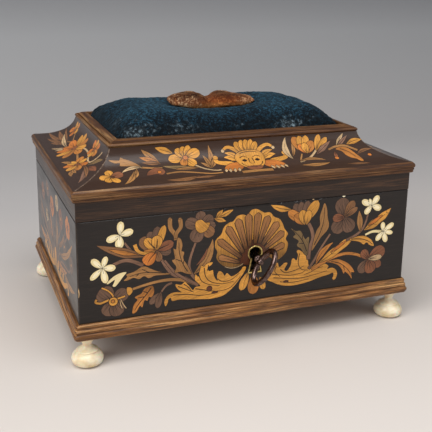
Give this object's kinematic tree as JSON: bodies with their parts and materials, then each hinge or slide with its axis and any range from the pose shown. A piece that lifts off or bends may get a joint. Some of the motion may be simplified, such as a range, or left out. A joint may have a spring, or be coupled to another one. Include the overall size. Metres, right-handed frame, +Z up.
{
  "type": "sewing box",
  "caption": "Lidded wooden sewing box with flush floral inlay, reeded mouldings, turned feet, a hinged coved lid with a pincushion top, and a key in its lock.",
  "frame": {"origin": "on the ground, under the middle of the whole object's bounding box, which takes in the key in front and the hinge barrels behind", "axes": "+X to the box's right as one faces its front, +Y towards the hinged back, +Z up; the keyhole looks along -Y"},
  "size_m": [0.2446, 0.1963, 0.1605],
  "materials": {
    "ebonised_inlay": "satin",
    "cove_inlay": "satin",
    "moulding_wood": "satin",
    "band_wood": "satin",
    "plain_wood": "matte",
    "bone": "satin",
    "brass": "satin",
    "key_steel": "satin",
    "lock_steel": "satin",
    "blue_velvet": "matte",
    "copper_velvet": "matte"
  },
  "bodies": {
    "box": {"wall_front": "ebonised_inlay", "wall_right": "ebonised_inlay", "wall_back": "ebonised_inlay", "wall_left": "ebonised_inlay", "base_moulding_front": "moulding_wood", "base_moulding_right": "moulding_wood", "base_moulding_back": "moulding_wood", "base_moulding_left": "moulding_wood", "bottom_board": "plain_wood", "foot_front_left": "bone", "foot_front_right": "bone", "foot_back_left": "bone", "foot_back_right": "bone", "keyhole_lining": "brass", "lock": "lock_steel", "key": "key_steel", "hinge_left_box_leaf": "brass", "hinge_right_box_leaf": "brass"},
    "lid": {"lid_band_front": "band_wood", "lid_band_right": "band_wood", "lid_band_back": "band_wood", "lid_band_left": "band_wood", "lid_lip_front": "moulding_wood", "lid_lip_right": "moulding_wood", "lid_lip_back": "moulding_wood", "lid_lip_left": "moulding_wood", "lid_cove_front": "cove_inlay", "lid_cove_right": "cove_inlay", "lid_cove_back": "cove_inlay", "lid_cove_left": "cove_inlay", "top_frame_front": "moulding_wood", "top_frame_right": "moulding_wood", "top_frame_back": "moulding_wood", "top_frame_left": "moulding_wood", "top_board": "plain_wood", "pincushion": "blue_velvet", "tuft": "copper_velvet", "lid_catch": "brass", "hinge_left_lid_leaf": "brass", "hinge_right_lid_leaf": "brass"}
  },
  "joints": [
    {"name": "lid_hinge", "type": "hinge", "parent": "box", "child": "lid", "pos_m": [0, 0.09734, 0.097], "axis": [-1, 0, 0], "range_deg": [0, 100]}
  ]
}
